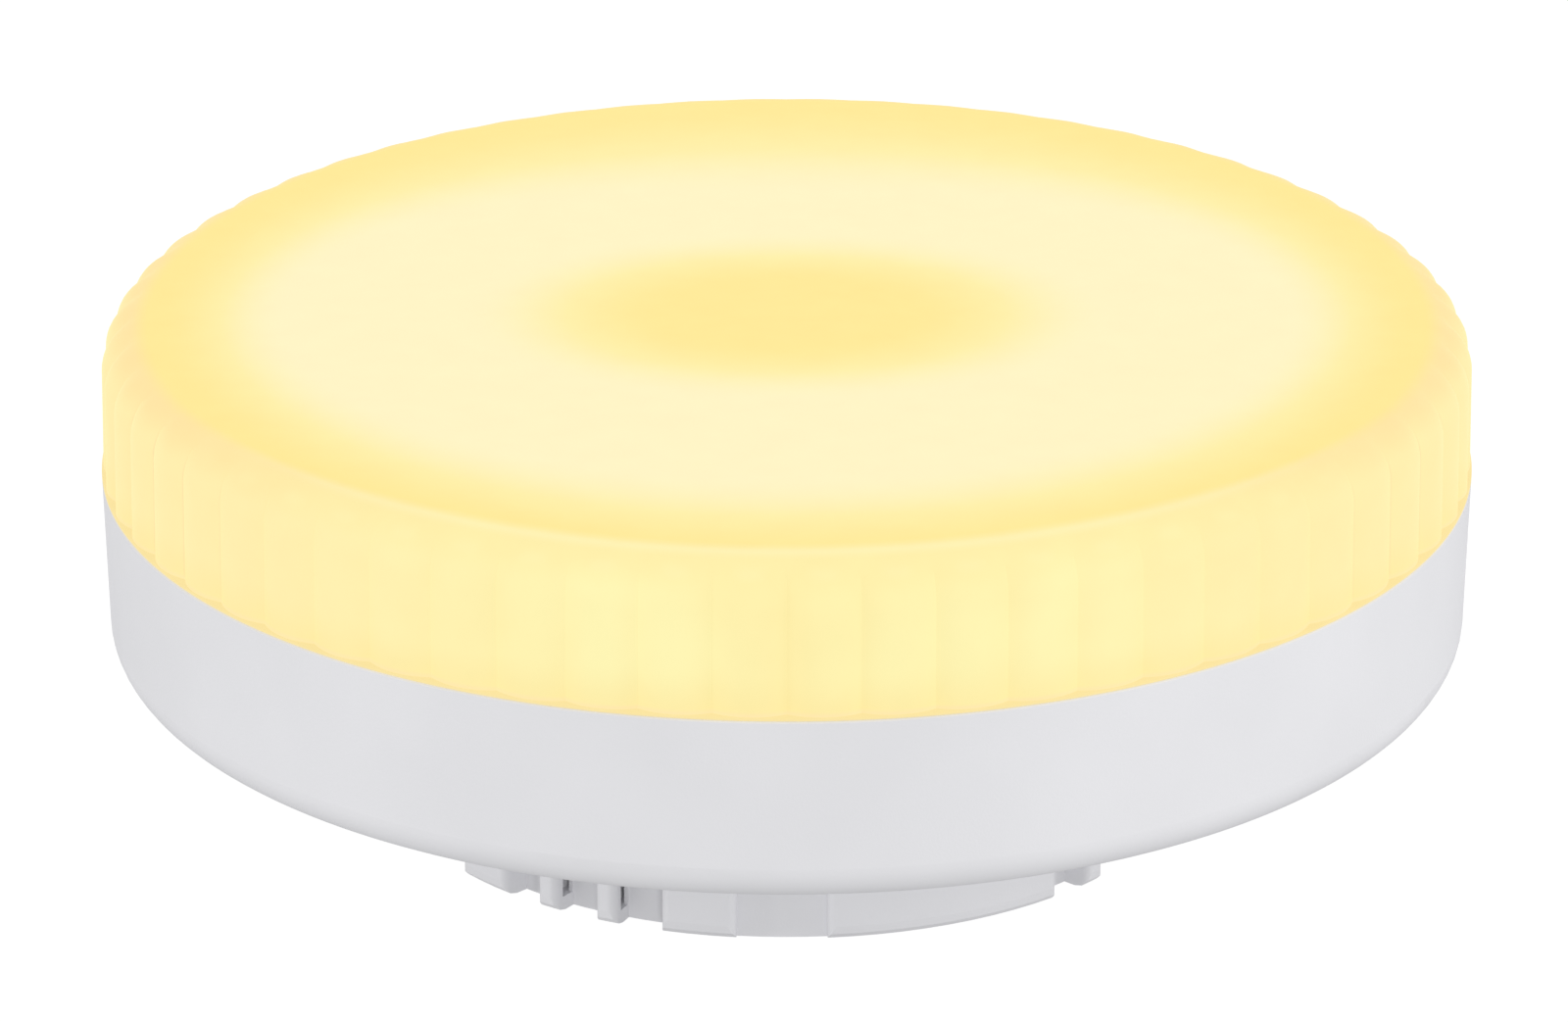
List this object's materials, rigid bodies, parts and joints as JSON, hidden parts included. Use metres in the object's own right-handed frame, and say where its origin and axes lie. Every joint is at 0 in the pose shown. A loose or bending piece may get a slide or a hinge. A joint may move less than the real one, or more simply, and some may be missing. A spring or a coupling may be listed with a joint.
{
  "type": "led disc lamp",
  "caption": "Flat round LED lamp with an opal fluted cover, a tapered moulded base and a twist-fit two-pin cap on a stepped hub.",
  "frame": {"origin": "centre of the flat end of the hub, the lowest face of the lamp", "axes": "+Z along the lamp's axis towards the light; the two contact pins stand on the X axis; the louvres of the pictured side face -Y"},
  "size_m": [0.075, 0.075, 0.0277],
  "materials": {
    "opal_cover": "opal polycarbonate, satin moulded face, lit warm from inside",
    "base_plastic": "satin moulded polyester",
    "plated_brass": "turned brass, nickel plated",
    "pressed_aluminium": "pressed sheet",
    "white_solder_mask": "white solder mask on aluminium core",
    "led_frame": "white moulded package",
    "led_phosphor": "silicone with phosphor, lit",
    "screw_steel": "zinc plated",
    "driver_laminate": "green solder mask on glass laminate",
    "capacitor_sleeve": "shrunk sleeve",
    "ferrite": "sintered ferrite",
    "copper_winding": "enamelled copper wire",
    "film_capacitor_case": "moulded case",
    "black_epoxy": "moulded epoxy",
    "varistor_coating": "dipped epoxy",
    "resistor_coating": "dipped coating",
    "lead_insulation": "silicone insulation",
    "positive_lead_insulation": "silicone insulation",
    "negative_lead_insulation": "silicone insulation"
  },
  "bodies": {
    "root": {"diffuser": "opal_cover", "base_housing": "base_plastic", "contact_pin_left": "plated_brass", "contact_pin_right": "plated_brass", "heat_spreader": "pressed_aluminium", "led_board": "white_solder_mask", "led_packages": "led_frame", "led_phosphor": "led_phosphor", "board_screws": "screw_steel", "driver_board": "driver_laminate", "input_capacitor": "capacitor_sleeve", "output_capacitor": "capacitor_sleeve", "inductor_core": "ferrite", "inductor_winding": "copper_winding", "suppression_capacitor": "film_capacitor_case", "bridge_rectifier": "black_epoxy", "driver_chip": "black_epoxy", "surge_varistor": "varistor_coating", "fusible_resistor": "resistor_coating", "chip_resistors": "black_epoxy", "pin_lead_left": "lead_insulation", "pin_lead_right": "lead_insulation", "led_lead_positive": "positive_lead_insulation", "led_lead_negative": "negative_lead_insulation"}
  },
  "joints": []
}
